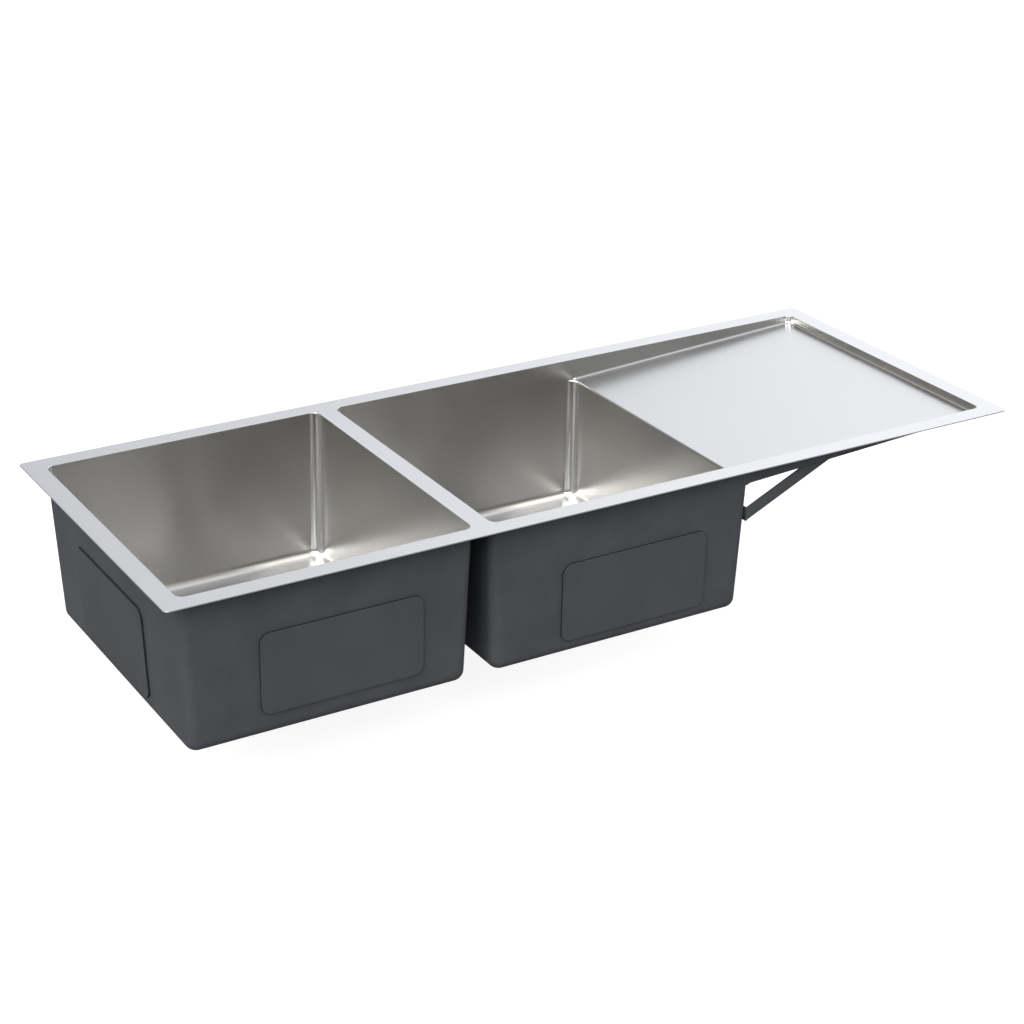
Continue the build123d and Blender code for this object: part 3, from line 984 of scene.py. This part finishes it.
class Tree:
    """Short hand for building one material's nodes."""

    def __init__(self, name):
        self.material = bpy.data.materials.new(name)
        self.material.use_nodes = True
        self.nodes = self.material.node_tree.nodes
        self.links = self.material.node_tree.links
        self.shader = self.nodes["Principled BSDF"]

    def add(self, kind, inputs=(), **settings):
        node = self.nodes.new(kind)
        for key, value in settings.items():
            setattr(node, key, value)
        for key, value in dict(inputs).items():
            self.put(node.inputs[key], value)
        return node

    def put(self, socket, value):
        if isinstance(value, bpy.types.NodeSocket):
            self.links.new(value, socket)
        else:
            socket.default_value = value

    def math(self, operation, a, b=0.0):
        return self.add("ShaderNodeMath", {0: a, 1: b}, operation=operation).outputs[0]

    def ramp(self, value, low, high, out_low=0.0, out_high=1.0):
        node = self.add("ShaderNodeMapRange", {0: value, 1: low, 2: high, 3: out_low, 4: out_high})
        node.interpolation_type = "SMOOTHSTEP"
        return node.outputs[0]

    def noise(self, scale, stretch=(1, 1, 1), detail=2.0, rough=0.5):
        place = self.add("ShaderNodeTexCoord").outputs["Object"]
        scaled = self.add("ShaderNodeVectorMath", {0: place, 1: stretch}, operation="MULTIPLY").outputs[0]
        made = self.add("ShaderNodeTexNoise",
                        {"Vector": scaled, "Scale": scale, "Detail": detail, "Roughness": rough})
        return made.outputs["Fac"]

    def blend(self, share, a, b):
        node = self.add("ShaderNodeMix", data_type="RGBA")
        self.put(node.inputs[0], share)
        self.put(node.inputs[6], a)
        self.put(node.inputs[7], b)
        return node.outputs[2]

    def bump(self, height, distance, strength=1.0, below=None):
        inputs = {"Height": height, "Distance": distance, "Strength": strength}
        node = self.add("ShaderNodeBump", inputs)
        if below:
            self.put(node.inputs["Normal"], below)
        return node.outputs[0]

    def set(self, **inputs):
        for key, value in inputs.items():
            self.put(self.shader.inputs[key.replace("_", " ")], value)


def brushed(name, colour, rough, aniso, polish_and_corner_highlight=0.0, streak=0.02, flat=None):
    """Brushed stainless steel: the grain runs along X, and round the walls level with the rim."""
    t = Tree(name)
    normal = t.add("ShaderNodeNewGeometry").outputs["Normal"]
    parts = t.add("ShaderNodeSeparateXYZ", {0: normal})
    nx, ny, nz = (t.math("ABSOLUTE", parts.outputs[i]) for i in range(3))
    turned = t.ramp(nx, 0.25, 0.75)
    grain = t.add("ShaderNodeMix", data_type="VECTOR")
    t.put(grain.inputs[0], turned)
    t.put(grain.inputs[4], (1, 0, 0))
    t.put(grain.inputs[5], (0, 1, 0))
    across = t.add("ShaderNodeVectorMath", {0: normal, 1: grain.outputs[1]}, operation="CROSS_PRODUCT")
    across = t.add("ShaderNodeVectorMath", {0: across.outputs[0]}, operation="NORMALIZE").outputs[0]
    t.put(t.shader.inputs["Tangent"], across)
    # grain: fine streaks along the brushing
    along_x = t.noise(1.0, (9, 1100, 1100), 3.0, 0.65)
    along_y = t.noise(1.0, (1100, 9, 1100), 3.0, 0.65)
    streaks = t.add("ShaderNodeMix", data_type="FLOAT")
    t.put(streaks.inputs[0], turned)
    t.put(streaks.inputs[2], along_x)
    t.put(streaks.inputs[3], along_y)
    streaks = streaks.outputs[0]
    patches = t.noise(7.0, (1, 1, 1), 3.0, 0.6)
    value = t.math("ADD", t.ramp(streaks, 0.2, 0.8, -streak, streak),
                   t.ramp(patches, 0.3, 0.7, -0.012, 0.012))
    # the upright corners are polished: their roughness is lower. Their colour also gets a painted
    # highlight: a little brighter across the bend, and two near-white painted highlight lines on either
    # side of their middle
    upright = t.math("MULTIPLY", nx, ny)
    bend = t.ramp(upright, 0.02, 0.2)
    corner_highlight_lines = t.math("SUBTRACT", bend, t.ramp(upright, 0.38, 0.48))
    grain_and_painted_corner_light = t.math("ADD", value, t.math("MULTIPLY", bend, 0.02))
    dark = tuple(c * 0.9 for c in colour) + (1,)
    bright = tuple(min(1.0, c * 1.1) for c in colour) + (1,)
    share = t.math("ADD", t.math("MULTIPLY", grain_and_painted_corner_light, 5.0), 0.5)
    colour_out = t.blend(share, dark, bright)
    if flat:
        dark, bright = (tuple(c * k for c in flat) + (1,) for k in (0.9, 1.1))
        colour_out = t.blend(t.ramp(nz, 0.6, 0.95), colour_out, t.blend(share, dark, bright))
    # painted highlight: near-white colour along two lines beside each upright corner, standing in for
    # reflections
    if polish_and_corner_highlight:
        colour_out = t.blend(corner_highlight_lines, colour_out, (0.98, 0.98, 0.97, 1))
    roughness = t.math("ADD", t.ramp(streaks, 0.2, 0.8, rough - 0.012, rough + 0.012),
                       t.ramp(patches, 0.3, 0.7, -0.015, 0.015))
    roughness = t.math("SUBTRACT", roughness, t.math("MULTIPLY", bend, polish_and_corner_highlight))
    t.set(Base_Color=colour_out, Metallic=1.0, Roughness=roughness, Anisotropic=aniso)
    soft = t.noise(4.0, (1, 1, 1), 1.0, 0.4)
    t.set(Normal=t.bump(soft, 0.0004, 0.12))
    return t.material


def sprayed(name, colour, rough, grain=900.0, depth=0.00008, mottle=0.12):
    """Matte sprayed coat with fine orange peel."""
    t = Tree(name)
    patches = t.noise(14.0, (1, 1, 1), 4.0, 0.6)
    dark = tuple(c * (1 - mottle) for c in colour) + (1,)
    light = tuple(c * (1 + mottle) for c in colour) + (1,)
    fine = t.noise(grain, (1, 1, 1), 2.0, 0.6)
    share = t.math("ADD", t.ramp(patches, 0.3, 0.7, 0.0, 0.8), t.ramp(fine, 0.3, 0.7, 0.0, 0.2))
    t.set(Base_Color=t.blend(share, dark, light),
          Roughness=t.ramp(fine, 0.3, 0.7, rough - 0.06, rough + 0.06))
    t.shader.inputs["Specular IOR Level"].default_value = 0.35
    t.set(Normal=t.bump(fine, depth, 0.6))
    return t.material


def moulded(name, colour, rough, metallic=0.0, grain=500.0, depth=0.00003):
    """Plastic, rubber and small turned metal parts."""
    t = Tree(name)
    fine = t.noise(grain, (1, 1, 1), 3.0, 0.6)
    patches = t.noise(30.0, (1, 1, 1), 3.0, 0.6)
    dark = tuple(c * 0.93 for c in colour) + (1,)
    light = tuple(min(1, c * 1.05) for c in colour) + (1,)
    t.set(Base_Color=t.blend(t.ramp(patches, 0.3, 0.7), dark, light), Metallic=metallic,
          Roughness=t.ramp(fine, 0.3, 0.7, rough - 0.05, rough + 0.05), Normal=t.bump(fine, depth, 0.5))
    return t.material


# polish sets the corners' lower roughness and also switches on their painted highlight lines
RIM_STEEL = brushed("rim_steel", (0.61, 0.62, 0.64), 0.30, 0.6, polish_and_corner_highlight=0.05, streak=0.008)
BOWL_STEEL = brushed("bowl_steel", (0.62, 0.608, 0.588), 0.24, 0.8, polish_and_corner_highlight=0.10, streak=0.008,
                     flat=(0.565, 0.577, 0.59))
WASTE_STEEL = brushed("waste_steel", (0.80, 0.80, 0.79), 0.16, 0.2, streak=0.01)
COAT_GREY = sprayed("sound_coat", (0.066, 0.072, 0.083), 0.62)
PAD_GREY = sprayed("sound_pad", (0.064, 0.070, 0.080), 0.66, 1500.0, 0.00005, 0.08)
# near-black copy of the pad coat for the pads' side faces: painted shade for the dark crevice lines along
# their edges
PAD_EDGE_SHADE = sprayed("sound_pad_edge_painted_shade", (0.016, 0.016, 0.017), 0.8, 1500.0, 0.00005, 0.08)
BLACK_RUBBER = moulded("gasket_rubber", (0.03, 0.03, 0.03), 0.55)
SEAL_BLACK = moulded("seal_rubber", (0.045, 0.045, 0.045), 0.5)
WHITE_PLASTIC = moulded("waste_plastic", (0.75, 0.75, 0.73), 0.38)
PIPE_WHITE = moulded("pipe_plastic", (0.75, 0.75, 0.73), 0.3)
BRASS = moulded("insert_brass", (0.72, 0.55, 0.28), 0.25, 1.0)
SCREW_STEEL = moulded("screw_steel", (0.66, 0.66, 0.65), 0.22, 1.0)

# --- hang everything on its body ----------------------------------------------------

finish_piece(sheet_left, "sink", BOWL_STEEL, "bowl_steel", ["bowl_left"])
finish_piece(sheet_right, "sink", BOWL_STEEL, "bowl_steel", ["bowl_right", "drainboard"])
finish_piece(coat_left, "sink", COAT_GREY, "sound_coat", ["coat_left"])
finish_piece(coat_right, "sink", COAT_GREY, "sound_coat", ["coat_right", "coat_drainboard"])
rim = rim_plate()
finish_piece(rim, "sink", RIM_STEEL, "rim_steel", ["rim_frame"])
for piece in (sheet_left, sheet_right, coat_left, coat_right, rim):
    weighted(piece)
for piece, node in pads:
    finish_piece(piece, "sink", PAD_GREY, "sound_pad", [node], angle=60)
    # the pads' side faces get the near-black edge material: painted shade
    piece.data.materials.append(PAD_EDGE_SHADE)
    for index in piece["skirt"]:
        piece.data.polygons[index].material_index = 1
    del piece["skirt"]
    weighted(piece)
for piece, node in braces:
    finish_piece(piece, "sink", COAT_GREY, "sound_coat", [node])

LOOK = {
    "waste_flange": (WASTE_STEEL, "waste_steel"), "waste_body": (WHITE_PLASTIC, "waste_plastic"),
    "waste_ribs": (WHITE_PLASTIC, "waste_plastic"), "waste_bridge": (WHITE_PLASTIC, "waste_plastic"),
    "waste_boss": (WHITE_PLASTIC, "waste_plastic"), "outlet_nut": (WHITE_PLASTIC, "waste_plastic"),
    "tail_pipe": (PIPE_WHITE, "pipe_plastic"), "upper_gasket": (BLACK_RUBBER, "gasket_rubber"),
    "lower_gasket": (BLACK_RUBBER, "gasket_rubber"), "outlet_washer": (BLACK_RUBBER, "gasket_rubber"),
    "basket": (WASTE_STEEL, "basket_steel"), "basket_knob": (WASTE_STEEL, "basket_steel"),
    "basket_seal": (SEAL_BLACK, "seal_rubber"),
}
for side in SIDES:
    for word, piece in list(waste(side).items()) + list(basket(side).items()):
        material, slot = LOOK[word]
        node = ("waste_body" if word in ("waste_ribs", "waste_bridge", "waste_boss") else word) + "_" + side
        body = f"{side}_basket" if word.startswith("basket") else "sink"
        finish_piece(piece, body, material, slot, [node])
    for word, material in (("insert_nut", BRASS), ("clamp_screw", SCREW_STEEL)):
        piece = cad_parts[f"{word}_{side}"]
        piece.data.materials.clear()
        piece.data.materials.append(material)

# --- camera, floor and light --------------------------------------------------------

AZIMUTH, ELEVATION, ROLL = -30.4516, 24.3418, 0.3159
DISTANCE = 2.84383
TARGET = Vector((-0.017144, 0.008486, -0.1))
FOCAL_PIXELS = 2289.39

cam = bpy.data.cameras.new("camera")
cam.sensor_width = 36.0
cam.lens = FOCAL_PIXELS * cam.sensor_width / 1024
cam.clip_end = 60
camera = bpy.data.objects.new("camera", cam)
scene.collection.objects.link(camera)
az, el, roll = (v * pi / 180 for v in (AZIMUTH, ELEVATION, ROLL))
back = Vector((sin(az) * cos(el), -cos(az) * cos(el), sin(el)))
right = (-back).cross(Vector((0, 0, 1))).normalized()
up = right.cross(-back)
right, up = right * cos(roll) + up * sin(roll), up * cos(roll) - right * sin(roll)
spot = TARGET + back * DISTANCE
camera.matrix_world = Matrix((
    (right.x, up.x, back.x, spot.x),
    (right.y, up.y, back.y, spot.y),
    (right.z, up.z, back.z, spot.z),
    (0, 0, 0, 1),
))
scene.camera = camera

floor_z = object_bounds()[0][2]
mesh = bpy.data.meshes.new("floor")
FLOOR_HALF = 20.0
mesh.from_pydata([(x * FLOOR_HALF, y * FLOOR_HALF, floor_z)
                  for x, y in ((-1, -1), (1, -1), (1, 1), (-1, 1))], [], [(0, 1, 2, 3)])
floor = link("floor", mesh)
t = Tree("floor")
t.set(Base_Color=(0.3, 0.3, 0.3, 1), Roughness=0.9, Emission_Color=(1, 1, 1, 1), Emission_Strength=0.88)
cast = t.add("ShaderNodeBsdfDiffuse", {"Color": (0.24, 0.24, 0.24, 1)})
seen = t.add("ShaderNodeLightPath").outputs["Is Camera Ray"]
shown = t.add("ShaderNodeMixShader", {0: seen, 1: cast.outputs[0], 2: t.shader.outputs[0]})
t.links.new(shown.outputs[0], t.nodes["Material Output"].inputs["Surface"])
floor.data.materials.append(t.material)

world = bpy.data.worlds.new("studio")
scene.world = world
world.use_nodes = True
nodes, links = world.node_tree.nodes, world.node_tree.links
sky = nodes["Background"]
way = nodes.new("ShaderNodeTexCoord").outputs["Generated"]


def facing(direction, stops):
    """Light by the angle from one direction: stops are (cosine, colour)."""
    turn = nodes.new("ShaderNodeVectorMath")
    turn.operation = "DOT_PRODUCT"
    turn.inputs[1].default_value = Vector(direction).normalized()
    links.new(way, turn.inputs[0])
    span = nodes.new("ShaderNodeMapRange")
    span.inputs[1].default_value = -1.0
    links.new(turn.outputs["Value"], span.inputs[0])
    bands = nodes.new("ShaderNodeValToRGB")
    bands.color_ramp.interpolation = "EASE"
    links.new(span.outputs[0], bands.inputs[0])
    ramp = bands.color_ramp
    while len(ramp.elements) < len(stops):
        ramp.elements.new(0.5)
    for element, (at, colour) in zip(ramp.elements, stops):
        element.position = (at + 1) / 2
        element.color = colour + (1,)
    return bands.outputs[0]


studio = facing((0.90, 0.36, 0.25), (
    (-1.00, (0.235, 0.218, 0.196)),
    (-0.30, (0.29, 0.27, 0.248)),
    (0.20, (0.32, 0.314, 0.308)),
    (0.50, (0.46, 0.47, 0.49)),
    (0.70, (0.95, 0.96, 0.98)),
    (0.90, (1.45, 1.46, 1.48)),
    (1.00, (1.50, 1.50, 1.50)),
))
zenith = facing((0.0, 0.0, 1.0), (
    (-1.0, (0.0, 0.0, 0.0)),
    (0.62, (0.0, 0.0, 0.0)),
    (0.82, (0.55, 0.55, 0.55)),
    (1.00, (0.75, 0.75, 0.75)),
))
left_box = facing((-0.70, -0.34, 0.62), (
    (-1.0, (0.0, 0.0, 0.0)),
    (0.88, (0.0, 0.0, 0.0)),
    (0.95, (4.6, 4.6, 4.55)),
    (1.00, (5.4, 5.4, 5.35)),
))
front_box = facing((-0.06, -0.78, 0.62), (
    (-1.0, (0.0, 0.0, 0.0)),
    (0.92, (0.0, 0.0, 0.0)),
    (0.97, (2.2, 2.17, 2.12)),
    (1.00, (2.6, 2.56, 2.5)),
))
light = studio
for more in (zenith, left_box, front_box):
    both = nodes.new("ShaderNodeVectorMath")
    links.new(light, both.inputs[0])
    links.new(more, both.inputs[1])
    light = both.outputs[0]
links.new(light, sky.inputs[0])
